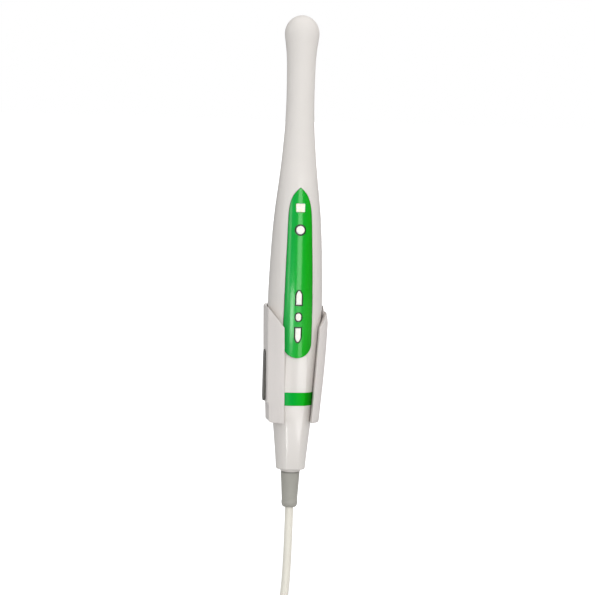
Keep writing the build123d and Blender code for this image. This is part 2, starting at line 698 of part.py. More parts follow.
# plug lying on the coil: the mouth of its boot and the way it points
MOUTH = (CX + 21.6, CY + 4.4, FLOOR_Z + PLUG_AXIS_UP)
POINTING = Vector(-0.2588, -0.9659, 0)
inner_c = on_ring(205, 10.0, 0)


def curl(angle, r, up):
    a = radians(angle)
    return (inner_c[0] - r * sin(a), inner_c[1] - r * cos(a), FLOOR_Z + up)


END = [on_ring(176, 27.4, 12.2), on_ring(200, 28.2, 13.4), curl(228, 19.2, 16.6),
       tuple(Vector(*MOUTH) - POINTING * 8.0), tuple(Vector(*MOUTH) + POINTING * 6.0)]
end_radii = arcs(END)
print("cord_end radii", [round(r, 1) for r in end_radii])
with BuildPart() as cord_end:
    with BuildLine() as end_path:
        FilletPolyline(*END, radius=end_radii)
    with BuildSketch(Plane(origin=END[0], z_dir=(Vector(*END[1]) - Vector(*END[0])))):
        Circle(CORD_D / 2)
    sweep(path=end_path.line)
print("cord_end length", round(end_path.wires()[0].length, 1), "volume ratio",
      round(cord_end.part.volume / (end_path.wires()[0].length * pi * (CORD_D / 2) ** 2), 4))

# strap round the coil
TIE_ANGLE, TIE_W, TIE_T = 112, 9.0, 0.7
a = radians(TIE_ANGLE)
tie_plane = Plane(origin=(CX, CY, FLOOR_Z), x_dir=(-sin(a), -cos(a), 0), z_dir=(-cos(a), sin(a), 0))
TIE_IN, TIE_OUT = COIL_IN - 0.8, COIL_OUT + 0.15
with BuildPart() as cord_tie:
    with BuildSketch(tie_plane.offset(-TIE_W / 2)):
        with Locations(((TIE_IN + TIE_OUT) / 2, (COIL_LOW + COIL_TOP) / 2 * tie_plane.y_dir.Z)):
            RectangleRounded(TIE_OUT - TIE_IN + 2 * TIE_T, COIL_TOP - COIL_LOW + 0.3 + 2 * TIE_T, 3.0)
            RectangleRounded(TIE_OUT - TIE_IN, COIL_TOP - COIL_LOW + 0.3, 2.3, mode=Mode.SUBTRACT)
    extrude(amount=TIE_W)

# ---- plug ---------------------------------------------------------------------------------------------------
def plug_plane(along):
    """Plane across the plug, a distance along it from the boot's mouth, facing the way it points."""
    return Plane(origin=tuple(Vector(*MOUTH) + POINTING * along), z_dir=POINTING)


side_plane = Plane(origin=MOUTH, x_dir=POINTING, z_dir=(0, 0, 1))
plug_axis = Axis(MOUTH, POINTING)
rib_line = []                                  # shallow grooves that let the boot bend
for rib in range(6):
    rib_x = 2.4 + 2.1 * rib
    rib_r = 2.6 + 0.45 * rib_x / 16.6
    rib_line += [(rib_x, rib_r), (rib_x + 0.2, rib_r - 0.38), (rib_x + 0.9, rib_r - 0.36), (rib_x + 1.1, rib_r + 0.02)]
with BuildPart() as plug_boot:
    with BuildSketch(side_plane):
        with BuildLine():
            Polyline((0, 1.85), (0, 2.6), *rib_line, (16.6, 3.05), (18.0, 3.15), (18.0, 4.2), (19.5, 4.2), (19.5, 0),
                     (6.02, 0), (6.02, 1.85), (0, 1.85))
        make_face()
    revolve(axis=plug_axis, revolution_arc=360)

with BuildPart() as plug_grip:
    with BuildSketch(plug_plane(19.52)):
        Circle(4.8)
    extrude(amount=9.4)
    chamfer(faces().sort_by(SortBy.AREA)[-1].edges(), length=0.5)
    with BuildSketch(plug_plane(28.92 - 4.0)):
        Circle(3.5)
    extrude(amount=6, mode=Mode.SUBTRACT)
    with BuildSketch(plug_plane(21.2)):
        with PolarLocations(5.12, 14):
            Circle(0.6)
    extrude(amount=6.0, mode=Mode.SUBTRACT)

with BuildPart() as plug_shell:
    with BuildSketch(plug_plane(28.92)):
        Circle(3.85)
        Circle(3.5, mode=Mode.SUBTRACT)
    extrude(amount=7.6)

with BuildPart() as plug_insert:
    with BuildSketch(plug_plane(28.92 - 3.95)):
        Circle(3.45)
    extrude(amount=4.4)
    with BuildSketch(plug_plane(28.92 - 3.95)):
        with Locations((0, -2.2)):
            Rectangle(0.9, 1.1)
    extrude(amount=10.0)
    with BuildSketch(plug_plane(28.92 - 2.0)):
        with PolarLocations(1.9, 6, start_angle=0):
            Circle(0.34)
    extrude(amount=4, mode=Mode.SUBTRACT)

with BuildPart() as plug_pins:
    with BuildSketch(plug_plane(28.92 - 1.98)):
        with PolarLocations(1.9, 6, start_angle=0):
            Circle(0.32)
    extrude(amount=8.2)

# ---- write the parts ---------------------------------------------------------------------------------------
front_shell.part.label = "front_shell"
export_step(front_shell.part, "parts/front_shell.step")
back_shell.part.label = "back_shell"
export_step(back_shell.part, "parts/back_shell.step")
green_band.part.label = "green_band"
export_step(green_band.part, "parts/green_band.step")
tail_cone.part.label = "tail_cone"
export_step(tail_cone.part, "parts/tail_cone.step")
button_panel.part.label = "button_panel"
export_step(button_panel.part, "parts/button_panel.step")
indicator_window.part.label = "indicator_window"
export_step(indicator_window.part, "parts/indicator_window.step")
capture_button.part.label = "capture_button"
export_step(capture_button.part, "parts/capture_button.step")
up_button.part.label = "up_button"
export_step(up_button.part, "parts/up_button.step")
ok_button.part.label = "ok_button"
export_step(ok_button.part, "parts/ok_button.step")
down_button.part.label = "down_button"
export_step(down_button.part, "parts/down_button.step")
main_board.part.label = "main_board"
export_step(main_board.part, "parts/main_board.step")
tact_switches.part.label = "tact_switches"
export_step(tact_switches.part, "parts/tact_switches.step")
indicator_led.part.label = "indicator_led"
export_step(indicator_led.part, "parts/indicator_led.step")
board_chips.part.label = "board_chips"
export_step(board_chips.part, "parts/board_chips.step")
board_screws.part.label = "board_screws"
export_step(board_screws.part, "parts/board_screws.step")
shell_screw.part.label = "shell_screw"
export_step(shell_screw.part, "parts/shell_screw.step")
wire_header.part.label = "wire_header"
export_step(wire_header.part, "parts/wire_header.step")
flex_connector.part.label = "flex_connector"
export_step(flex_connector.part, "parts/flex_connector.step")
camera_flex.part.label = "camera_flex"
export_step(camera_flex.part, "parts/camera_flex.step")
sensor_board.part.label = "sensor_board"
export_step(sensor_board.part, "parts/sensor_board.step")
image_sensor.part.label = "image_sensor"
export_step(image_sensor.part, "parts/image_sensor.step")
lens_holder.part.label = "lens_holder"
export_step(lens_holder.part, "parts/lens_holder.step")
lens_barrel.part.label = "lens_barrel"
export_step(lens_barrel.part, "parts/lens_barrel.step")
front_lens.part.label = "front_lens"
export_step(front_lens.part, "parts/front_lens.step")
led_board.part.label = "led_board"
export_step(led_board.part, "parts/led_board.step")
white_leds.part.label = "white_leds"
export_step(white_leds.part, "parts/white_leds.step")
lens_window.part.label = "lens_window"
export_step(lens_window.part, "parts/lens_window.step")
cord_boot.part.label = "cord_boot"
export_step(cord_boot.part, "parts/cord_boot.step")
boot_retainer.part.label = "boot_retainer"
export_step(boot_retainer.part, "parts/boot_retainer.step")
signal_wires.part.label = "signal_wires"
export_step(signal_wires.part, "parts/signal_wires.step")
cradle.part.label = "cradle"
export_step(cradle.part, "parts/cradle.step")
cradle_pad.part.label = "cradle_pad"
export_step(cradle_pad.part, "parts/cradle_pad.step")
cord_run.part.label = "cord_run"
export_step(cord_run.part, "parts/cord_run.step")
cord_coil.part.label = "cord_coil"
export_step(cord_coil.part, "parts/cord_coil.step")
cord_end.part.label = "cord_end"
export_step(cord_end.part, "parts/cord_end.step")
cord_tie.part.label = "cord_tie"
export_step(cord_tie.part, "parts/cord_tie.step")
plug_boot.part.label = "plug_boot"
export_step(plug_boot.part, "parts/plug_boot.step")
plug_grip.part.label = "plug_grip"
export_step(plug_grip.part, "parts/plug_grip.step")
plug_shell.part.label = "plug_shell"
export_step(plug_shell.part, "parts/plug_shell.step")
plug_insert.part.label = "plug_insert"
export_step(plug_insert.part, "parts/plug_insert.step")
plug_pins.part.label = "plug_pins"
export_step(plug_pins.part, "parts/plug_pins.step")
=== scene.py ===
import math

import bmesh
import bpy
import numpy as np
from mathutils import Matrix, Quaternion, Vector


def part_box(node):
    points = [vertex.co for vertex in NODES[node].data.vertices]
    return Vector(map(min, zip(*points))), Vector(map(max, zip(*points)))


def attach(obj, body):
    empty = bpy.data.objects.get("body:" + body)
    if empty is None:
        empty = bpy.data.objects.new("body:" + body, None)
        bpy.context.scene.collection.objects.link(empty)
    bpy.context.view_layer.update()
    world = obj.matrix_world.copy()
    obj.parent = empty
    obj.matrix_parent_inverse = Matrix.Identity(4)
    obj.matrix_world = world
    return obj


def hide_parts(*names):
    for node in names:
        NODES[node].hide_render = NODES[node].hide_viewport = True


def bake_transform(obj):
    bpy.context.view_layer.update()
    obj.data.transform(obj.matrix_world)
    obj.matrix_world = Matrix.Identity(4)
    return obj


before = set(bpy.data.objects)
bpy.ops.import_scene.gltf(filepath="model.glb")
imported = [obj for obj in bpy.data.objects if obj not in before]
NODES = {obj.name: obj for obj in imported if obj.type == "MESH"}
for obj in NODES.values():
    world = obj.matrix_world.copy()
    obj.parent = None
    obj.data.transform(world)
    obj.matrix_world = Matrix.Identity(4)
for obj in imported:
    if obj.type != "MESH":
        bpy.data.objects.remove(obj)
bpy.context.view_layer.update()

# ---- the shared frame's dimensions, in metres ---------------------------------------------
AX, TAIL, FLOOR = 0.01285, -0.0403, -0.1304
PARTING_Y = 0.001
CORD_D = 0.0035
COIL_X, COIL_Y = AX, 0.0320

# ---- camera ---------------------------------------------------------------------------------
AIM = Vector((0.01385, 0.0, 0.0333))
AZIMUTH, ELEVATION, DISTANCE, ROLL = math.radians(-8.4), math.radians(5.0), 1.11, math.radians(1.65)
back = Vector((math.sin(AZIMUTH) * math.cos(ELEVATION), -math.cos(AZIMUTH) * math.cos(ELEVATION),
               math.sin(ELEVATION)))
camera_data = bpy.data.cameras.new("camera")
camera_data.lens, camera_data.sensor_width = 157.5, 36.0
camera_data.clip_start, camera_data.clip_end = 0.05, 40.0
camera = bpy.data.objects.new("camera", camera_data)
bpy.context.scene.collection.objects.link(camera)
camera.location = AIM + back * DISTANCE
camera.rotation_mode = "QUATERNION"
camera.rotation_quaternion = (-back).to_track_quat("-Z", "Y") @ Quaternion((0, 0, 1), ROLL)
bpy.context.scene.camera = camera


def add_object(name, data, body=None, materials=()):
    made = bpy.data.objects.new(name, data)
    bpy.context.scene.collection.objects.link(made)
    for m in materials:
        data.materials.append(m)
    if body:
        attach(made, body)
    return made


def mesh_from(name, points, faces, smooth=True):
    mesh = bpy.data.meshes.new(name)
    mesh.from_pydata([tuple(p) for p in points], [], faces)
    mesh.validate()
    for p in mesh.polygons:
        p.use_smooth = smooth
    mesh.update()
    return mesh


# ---- the cord -----------------------------------------------------------------------------
def on_ring(angle, r, up):
    a = math.radians(angle)
    return (COIL_X - r * math.sin(a), COIL_Y - r * math.cos(a), FLOOR + up)


INNER_X, INNER_Y, _ = on_ring(205, 0.0100, 0)


def curl(angle, r, up):
    a = math.radians(angle)
    return (INNER_X - r * math.sin(a), INNER_Y - r * math.cos(a), FLOOR + up)


MOUTH = Vector((COIL_X + 0.0216, COIL_Y + 0.0044, FLOOR + 0.0196))
POINTING = Vector((-0.2588, -0.9659, 0)).normalized()

run = [(AX, 0.0, TAIL - 0.0103), (AX, 0.0, -0.0754), (AX - 0.0012, -0.0001, -0.1004),
       (AX - 0.0067, -0.0010, -0.1195), (AX - 0.0174, 0.0056, FLOOR + 0.0023),
       on_ring(66, 0.0282, 0.0022)]
end = [on_ring(200, 0.0282, 0.0134), curl(228, 0.0192, 0.0166),
       tuple(MOUTH - POINTING * 0.0080), tuple(MOUTH + POINTING * 0.0060)]

# The put-away length: four layers of turns, wound in, out, in and out again.
TURN_POINTS = 20
LAYER_UP = (0.0019, 0.0054, 0.0089, 0.0124)
WIDE, NARROW = 0.0279, 0.0175
TIE_ANGLE, TIE_WIDTH = 112.0, 0.009
START, STOP = 66.0, 176.0 + 360 * 11
coil = []
steps = int(round((STOP - START) / 360 * TURN_POINTS))
for i in range(1, steps + 1):
    s = i / steps
    angle = START + (STOP - START) * s
    layer = min(3, int(s * 4))
    t = s * 4 - layer
    r = WIDE + (NARROW - WIDE) * (t if layer % 2 == 0 else 1 - t)
    rise = 0.0
    if layer < 3:                                     # climbs to the next layer over its last sixth of a turn
        rise = max(0.0, (t - 0.91) / 0.09)
        rise = rise * rise * (3 - 2 * rise)
    up = LAYER_UP[layer] + (rise * (LAYER_UP[layer + 1] - LAYER_UP[layer]) if layer < 3 else 0)
    a = math.radians(angle)
    near = (angle - TIE_ANGLE + 180) % 360 - 180      # lifted where it passes over the strap
    up += 0.00044 * math.exp(-(near / 16.0) ** 2)
    loose = 1 + 0.010 * math.sin(2 * a + 0.6) + 0.006 * math.sin(3 * a + 1.1)
    coil.append(on_ring(angle, r * loose * 1.0125, up + 0.00012 * math.sin(5 * a)))

ROUTE = run + coil + end


def route_curve(name, points, resolution):
    data = bpy.data.curves.new(name, "CURVE")
    data.dimensions = "3D"
    data.resolution_u = resolution
    spline = data.splines.new("NURBS")
    spline.points.add(len(points) - 1)
    for p, q in zip(spline.points, points):
        p.co = (*q, 1.0)
    spline.order_u = 3
    spline.use_endpoint_u = True
    return data


def centreline(name, points, resolution):
    """The points of the spline itself, read from an unbevelled curve."""
    holder = bpy.data.objects.new(name, route_curve(name, points, resolution))
    bpy.context.scene.collection.objects.link(holder)
    bpy.context.view_layer.update()
    line = bpy.data.meshes.new_from_object(holder)
    found = [v.co.copy() for v in line.vertices]
    bpy.data.objects.remove(holder)
    bpy.data.meshes.remove(line)
    return found


def tube(name, line, radius, sides=14, scale=lambda i, n: 1.0):
    """A smooth tube along the points, with frames carried along it so that it doesn't twist."""
    points, n = [], len(line)
    tangent = (line[1] - line[0]).normalized()
    normal = tangent.orthogonal().normalized()
    for i, p in enumerate(line):
        ahead = line[min(i + 1, n - 1)] - line[max(i - 1, 0)]
        new = ahead.normalized()
        normal = tangent.rotation_difference(new) @ normal
        normal = (normal - new * normal.dot(new)).normalized()
        tangent = new
        side = tangent.cross(normal)
        for k in range(sides):
            a = 2 * math.pi * k / sides
            points.append(p + (normal * math.cos(a) + side * math.sin(a)) * radius * scale(i, n))
    faces = []
    for i in range(n - 1):
        for k in range(sides):
            m = (k + 1) % sides
            faces.append((i * sides + k, i * sides + m, (i + 1) * sides + m, (i + 1) * sides + k))
    faces.append(tuple(range(sides))[::-1])
    faces.append(tuple((n - 1) * sides + k for k in range(sides)))
    return mesh_from(name, points, faces)


line = centreline("cord_route", ROUTE, 6)
cord_mesh = tube("signal_cord", line, CORD_D / 2)
cord = add_object("signal_cord", cord_mesh)

# ---- materials --------------------------------------------------------------------------------


def srgb(r, g, b):
    """A colour given in 0-255 display values, as the shader needs it."""
    def one(c):
        c /= 255
        return c / 12.92 if c <= 0.04045 else ((c + 0.055) / 1.055) ** 2.4
    return (one(r), one(g), one(b), 1.0)


class Nodes:
    """A short way to write a material's nodes."""

    def __init__(self, name):
        self.m = bpy.data.materials.new(name)
        self.m.use_nodes = True
        self.t = self.m.node_tree
        self.t.nodes.clear()
        self.out = self.t.nodes.new("ShaderNodeOutputMaterial")
        self.bsdf = self.t.nodes.new("ShaderNodeBsdfPrincipled")
        self.link(self.bsdf.outputs[0], self.out.inputs["Surface"])
        self.coord = self.t.nodes.new("ShaderNodeTexCoord")

    def link(self, a, b):
        self.t.links.new(a, b)

    def set(self, **values):
        for key, value in values.items():
            self.bsdf.inputs[key.replace("_", " ")].default_value = value
        return self

    def mapping(self, scale=(1, 1, 1), rotation=(0, 0, 0), location=(0, 0, 0)):
        n = self.t.nodes.new("ShaderNodeMapping")
        n.inputs["Scale"].default_value = scale
        n.inputs["Rotation"].default_value = rotation
        n.inputs["Location"].default_value = location
        self.link(self.coord.outputs["Object"], n.inputs["Vector"])
        return n.outputs[0]

    def noise(self, scale, detail=3.0, rough=0.55, vector=None, distortion=0.0):
        n = self.t.nodes.new("ShaderNodeTexNoise")
        n.inputs["Scale"].default_value = scale
        n.inputs["Detail"].default_value = detail
        n.inputs["Roughness"].default_value = rough
        n.inputs["Distortion"].default_value = distortion
        self.link(vector or self.coord.outputs["Object"], n.inputs["Vector"])
        return n.outputs["Fac"]

    def voronoi(self, scale, vector=None, feature="F1", output="Distance", randomness=1.0):
        n = self.t.nodes.new("ShaderNodeTexVoronoi")
        n.feature = feature
        n.inputs["Scale"].default_value = scale
        n.inputs["Randomness"].default_value = randomness
        self.link(vector or self.coord.outputs["Object"], n.inputs["Vector"])
        return n.outputs[output]

    def wave(self, scale, vector=None, direction="X", distortion=0.0, detail=2.0, kind="BANDS", profile="SIN"):
        n = self.t.nodes.new("ShaderNodeTexWave")
        n.wave_type = kind
        if kind == "BANDS":
            n.bands_direction = direction
        n.wave_profile = profile
        n.inputs["Scale"].default_value = scale
        n.inputs["Distortion"].default_value = distortion
        n.inputs["Detail"].default_value = detail
        self.link(vector or self.coord.outputs["Object"], n.inputs["Vector"])
        return n.outputs["Fac"]

    def ramp(self, fac, stops):
        n = self.t.nodes.new("ShaderNodeValToRGB")
        e = n.color_ramp.elements
        while len(e) < len(stops):
            e.new(0.5)
        for el, (at, colour) in zip(e, stops):
            el.position = at
            el.color = colour if hasattr(colour, "__len__") else (colour, colour, colour, 1)
        self.link(fac, n.inputs[0])
        return n.outputs[0]

    def range(self, value, a, b, c, d, smooth=False):
        n = self.t.nodes.new("ShaderNodeMapRange")
        if smooth:
            n.interpolation_type = "SMOOTHSTEP"
        for k, v in zip(("From Min", "From Max", "To Min", "To Max"), (a, b, c, d)):
            n.inputs[k].default_value = v
        self.link(value, n.inputs["Value"])
        return n.outputs[0]

    def math(self, op, a, b=None, c=None):
        n = self.t.nodes.new("ShaderNodeMath")
        n.operation = op
        for k, v in enumerate((a, b, c)):
            if v is None:
                continue
            if isinstance(v, (int, float)):
                n.inputs[k].default_value = v
            else:
                self.link(v, n.inputs[k])
        return n.outputs[0]

    def mix(self, fac, a, b, kind="MIX"):
        n = self.t.nodes.new("ShaderNodeMix")
        n.data_type = "RGBA"
        n.blend_type = kind
        for key, v in (("Factor", fac), ("A", a), ("B", b)):
            sockets = [s for s in n.inputs if s.name == key and s.enabled]
            s = sockets[0]
            if hasattr(v, "is_output"):
                self.link(v, s)
            elif key == "Factor":
                s.default_value = v
            else:
                s.default_value = v
        return [s for s in n.outputs if s.enabled][0]

    def split(self):
        n = self.t.nodes.new("ShaderNodeSeparateXYZ")
        self.link(self.coord.outputs["Object"], n.inputs[0])
        return n.outputs

    def bump(self, height, strength=0.3, distance=0.0001, normal=None):
        n = self.t.nodes.new("ShaderNodeBump")
        n.inputs["Strength"].default_value = strength
        n.inputs["Distance"].default_value = distance
        self.link(height, n.inputs["Height"])
        if normal is not None:
            self.link(normal, n.inputs["Normal"])
        return n.outputs[0]

    def to(self, socket, key):
        self.link(socket, self.bsdf.inputs[key])
        return self


def moulded(name, colour, rough=0.32, vary=0.03, spread=0.05, grain=2600.0, grain_depth=0.000008,
            cloud=45.0, coat=0.0, coat_rough=0.1, subsurface=0.0, dust=0.0, seam=False, spec=0.5, matte_from=None):
    """Moulded plastic: a faint cloudy colour, a fine satin texture and slightly uneven gloss."""
    n = Nodes(name)
    big = n.noise(cloud, 3.0, 0.5)
    darker = tuple(c * (1 - vary) for c in colour[:3]) + (1.0,)
    lighter = tuple(min(1.0, c * (1 + vary * 0.5)) for c in colour[:3]) + (1.0,)
    col = n.ramp(big, [(0.3, darker), (0.7, lighter)])
    fine = n.noise(grain, 2.0, 0.6)
    r = n.range(n.noise(cloud * 4.0, 4.0, 0.6), 0.3, 0.7, rough - spread, rough + spread)
    height = n.math("MULTIPLY", fine, 1.0)
    normal = n.bump(height, 1.0, grain_depth)
    if dust:
        specks = n.range(n.noise(grain * 0.35, 5.0, 0.7), 0.66, 0.78, 0.0, dust)
        col = n.mix(specks, col, tuple(c * 0.82 for c in colour[:3]) + (1.0,))
    if seam:
        # the hairline where the two shells meet
        y = n.split()[1]
        away = n.math("ABSOLUTE", n.math("SUBTRACT", y, PARTING_Y))
        gap = n.range(away, 0.00003, 0.00012, 1.0, 0.0, smooth=True)
        col = n.mix(n.math("MULTIPLY", gap, 0.55), col, tuple(c * 0.45 for c in colour[:3]) + (1.0,))
        deep = n.range(away, 0.00003, 0.00018, 0.0, 1.0, smooth=True)
        normal = n.bump(deep, 0.6, 0.00012, normal)
    n.to(col, "Base Color").to(r, "Roughness").to(normal, "Normal")
    n.set(Specular_IOR_Level=spec, Coat_Weight=coat, Coat_Roughness=coat_rough)
    if matte_from is not None:
        # the neck and head are finer blasted, so duller, than the gripped part
        dull = n.range(n.split()[2], matte_from, matte_from + 0.022, 0.0, 1.0, smooth=True)
        n.to(n.math("ADD", r, n.math("MULTIPLY", dull, 0.2)), "Roughness")
        n.to(n.math("MULTIPLY", n.math("SUBTRACT", 1.0, dull), coat), "Coat Weight")
    if subsurface:
        n.set(Subsurface_Weight=subsurface, Subsurface_Scale=0.002)
        n.bsdf.inputs["Subsurface Radius"].default_value = (1.0, 0.9, 0.8)
    return n.m


SHELL = srgb(222, 217, 212)
shell_white = moulded("shell_white", SHELL, rough=0.34, vary=0.018, grain=3000, seam=True, dust=0.10, coat=0.6,
                      coat_rough=0.16, matte_from=0.070)
cone_white = moulded("cone_white", SHELL, rough=0.34, vary=0.018, grain=3000, dust=0.10, coat=0.5, coat_rough=0.16)
cradle_white = moulded("cradle_white", srgb(224, 218, 214), rough=0.42, vary=0.02, grain=2200, dust=0.12)
retainer_white = moulded("retainer_white", srgb(216, 214, 208), rough=0.5, vary=0.03)
connector_ivory = moulded("connector_ivory", srgb(226, 220, 200), rough=0.5, vary=0.04)
chip_black = moulded("chip_black", srgb(34, 34, 36), rough=0.55, vary=0.2, grain=5200, grain_depth=0.00002)
lens_black = moulded("lens_black", srgb(26, 26, 28), rough=0.45, vary=0.25, grain=3800)
plug_grey = moulded("plug_grey", srgb(128, 128, 124), rough=0.5, vary=0.05, grain=2600, grain_depth=0.00002)
insert_black = moulded("insert_black", srgb(30, 30, 32), rough=0.4, vary=0.2)


def green_with_painted_sheen(name):
    """Tinted glossy panel: a clear coat over green, with a painted reflection and shade across it (bluer and lighter
    on the left, darker towards both edges) and a slightly uneven depth of colour at random.
    """
    n = Nodes(name)
    cloud = n.noise(60.0, 2.0, 0.5)
    # painted reflection and shade: the green is bluer on the left and darker towards both edges
    across = n.range(n.split()[0], AX - 0.0066, AX + 0.0066, 0.0, 1.0)
    across = n.math("ADD", across, n.math("MULTIPLY", n.math("SUBTRACT", cloud, 0.5), 0.25))
    col = n.ramp(across, [(0.0, (0.004, 0.300, 0.045, 1)), (0.22, (0.002, 0.385, 0.052, 1)),
                          (0.5, (0.001, 0.390, 0.022, 1)), (0.75, (0.0, 0.385, 0.002, 1)),
                          (1.0, (0.0, 0.270, 0.0, 1))])
    fine = n.noise(5200, 2.0, 0.6)
    long = n.noise(160.0, 2.0, 0.5)
    n.to(col, "Base Color")
    n.to(n.range(long, 0.3, 0.7, 0.26, 0.34), "Roughness")
    n.to(n.bump(fine, 0.6, 0.000006, n.bump(long, 0.25, 0.00002)), "Normal")
    n.set(Coat_Weight=0.8, Coat_Roughness=0.15, Specular_IOR_Level=0.35, Specular_Tint=(0.05, 1.0, 0.15, 1.0))
    n.to(n.range(n.split()[2], -0.003, 0.020, 0.05, 0.8), "Coat Weight")    # the band is duller than the panel
    return n.m


panel_green = green_with_painted_sheen("panel_green")


def diffuser(name):
    n = Nodes(name)
    cells = n.voronoi(2600.0)
    col = n.ramp(n.noise(420.0, 2.0), [(0.3, srgb(238, 226, 206)), (0.7, srgb(250, 244, 232))])
    n.to(col, "Base Color").to(n.bump(cells, 0.3, 0.00003), "Normal")
    n.to(n.range(n.noise(900.0), 0.3, 0.7, 0.24, 0.34), "Roughness")
    n.set(Subsurface_Weight=0.5, Subsurface_Scale=0.0012, Coat_Weight=0.4, Coat_Roughness=0.08)
    return n.m


window_white = diffuser("window_white")


def button_cap_painted_gap_shade(name, node):
    """A white cap whose skirt, below the panel's face, is painted dark as the shade of its gap."""
    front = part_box(node)[0][1]
    n = Nodes(name)
    y = n.split()[1]
    # painted shade: below the panel's face the cap's colour turns dark, for the shadow in its gap
    deep = n.range(y, front + 0.00062, front + 0.00095, 0.0, 1.0, smooth=True)
    cloud = n.noise(260.0, 3.0, 0.5)
    cap = n.ramp(cloud, [(0.3, srgb(240, 236, 226)), (0.7, srgb(248, 245, 238))])
    col = n.mix(deep, cap, srgb(30, 38, 32))
    n.to(col, "Base Color")
    n.to(n.range(n.noise(900.0, 3.0), 0.3, 0.7, 0.24, 0.36), "Roughness")
    n.to(n.bump(n.noise(5200.0, 2.0, 0.6), 0.8, 0.000006), "Normal")
    n.set(Coat_Weight=0.2, Coat_Roughness=0.15, Subsurface_Weight=0.15, Subsurface_Scale=0.001)
    return n.m


BUTTONS = {node: button_cap_painted_gap_shade(node + "_cap", node)
           for node in ("capture_button", "up_button", "ok_button", "down_button")}


def rubber(name, colour, rough=0.6, vary=0.05, grain=1500.0, depth=0.00003, sheen=0.15, streak=None, rim=None):
    n = Nodes(name)
    base = n.noise(90.0, 4.0, 0.6)
    if streak:
        base = n.noise(streak, 3.0, 0.6, vector=n.mapping(scale=(1, 1, 0.15)))
    a = tuple(c * (1 - vary) for c in colour[:3]) + (1,)
    b = tuple(min(1, c * (1 + vary)) for c in colour[:3]) + (1,)
    col = n.ramp(base, [(0.3, a), (0.7, b)])
    fine = n.noise(grain, 4.0, 0.65)
    if rim:
        # painted shade: the boot darkens just under the tail's collar, at the joint
        shade = n.range(n.split()[2], rim - 0.0012, rim - 0.0004, 0.0, 1.0, smooth=True)
        col = n.mix(n.math("MULTIPLY", shade, 0.6), col, tuple(c * 0.35 for c in colour[:3]) + (1,))
    n.to(col, "Base Color")
    n.to(n.range(n.noise(300.0, 3.0), 0.3, 0.7, rough - 0.07, rough + 0.07), "Roughness")
    n.to(n.bump(fine, 0.5, depth), "Normal")
    n.set(Sheen_Weight=sheen, Sheen_Roughness=0.4, Specular_IOR_Level=0.35)
    return n.m


boot_grey = rubber("boot_grey", srgb(166, 164, 156), rough=0.55, vary=0.04, grain=2200)
# the boot's top is painted darker as the shade under the tail's collar
boot_painted_collar_shade = rubber("boot_painted_collar_shade", srgb(166, 164, 156), rough=0.55, vary=0.04, grain=2200, rim=TAIL - 0.0009)
cord_cream = rubber("cord_cream", srgb(232, 228, 216), rough=0.42, vary=0.02, grain=1800, depth=0.00002, sheen=0.05)


def foam(name):
    n = Nodes(name)
    cells = n.voronoi(2400.0)
    big = n.noise(500.0, 4.0, 0.7)
    col = n.ramp(n.math("MULTIPLY", cells, 1.4), [(0.0, srgb(74, 73, 70)), (0.35, srgb(96, 95, 91)),
                                                   (1.0, srgb(116, 115, 110))])
    skin = n.range(n.split()[0], 0.00010, 0.00012, 1.0, 0.0)     # the adhesive's grey carrier film
    n.to(n.mix(skin, col, srgb(118, 116, 112)), "Base Color")
    n.to(n.mix(skin, n.range(big, 0.3, 0.7, 0.78, 0.92), (0.38, 0.38, 0.38, 1)), "Roughness")
    core = n.math("MULTIPLY", cells, n.math("SUBTRACT", 1.0, skin))
    n.to(n.bump(core, 0.8, 0.0001, n.bump(big, 0.3, 0.00004)), "Normal")
    n.set(Specular_IOR_Level=0.2)
    return n.m


pad_foam = foam("pad_foam")


def strap(name):
    """Hook-and-loop strap: a fine weave under a short nap."""
    n = Nodes(name)
    warp = n.wave(620.0, direction="Z", distortion=1.2, detail=1.0)
    weft = n.wave(620.0, direction="DIAGONAL", distortion=1.0, detail=1.0)
    weave = n.math("MULTIPLY", warp, weft)
    nap = n.noise(3200.0, 5.0, 0.75)
    h = n.math("ADD", n.math("MULTIPLY", weave, 0.6), n.math("MULTIPLY", nap, 0.6))
    col = n.ramp(h, [(0.15, srgb(14, 14, 16)), (0.8, srgb(52, 52, 56))])
    n.to(col, "Base Color").to(n.bump(h, 0.9, 0.00018), "Normal")
    n.to(n.range(nap, 0.3, 0.7, 0.82, 0.95), "Roughness")
    n.set(Sheen_Weight=0.5, Sheen_Roughness=0.5, Specular_IOR_Level=0.25)
    return n.m


tie_black = strap("tie_black")


def metal(name, colour, rough=0.22, brushed=None, spread=0.06):
    n = Nodes(name)
    vector = n.mapping(scale=brushed) if brushed else None
    lines = n.noise(900.0, 4.0, 0.6, vector=vector)
    smudge = n.noise(180.0, 3.0, 0.6)
    col = n.ramp(smudge, [(0.25, tuple(c * 0.93 for c in colour[:3]) + (1,)), (0.75, colour)])
    n.to(col, "Base Color")
    n.to(n.range(lines, 0.3, 0.7, rough - spread, rough + spread), "Roughness")
    n.to(n.bump(lines, 0.25, 0.00001), "Normal")
    n.set(Metallic=1.0)
    return n.m


plug_metal = metal("plug_metal", srgb(206, 206, 208), 0.24)
screw_steel = metal("screw_steel", srgb(178, 178, 180), 0.32)
pin_gold = metal("pin_gold", srgb(226, 190, 110), 0.25)


def board(name, colour, trace):
    n = Nodes(name)
    x = n.mapping(scale=(900, 900, 320))
    tracks = n.voronoi(1.0, vector=x, feature="DISTANCE_TO_EDGE", randomness=0.75)
    mask = n.range(tracks, 0.05, 0.09, 1.0, 0.0, smooth=True)
    col = n.mix(n.math("MULTIPLY", mask, 0.55), colour, trace)
    n.to(col, "Base Color")
    n.to(n.range(n.noise(600.0), 0.3, 0.7, 0.32, 0.45), "Roughness")
    n.to(n.bump(mask, 0.4, 0.00004), "Normal")
    n.set(Coat_Weight=0.2)
    return n.m


board_green = board("board_green", srgb(18, 96, 52), srgb(40, 128, 72))
board_white = board("board_white", srgb(226, 226, 222), srgb(206, 206, 200))


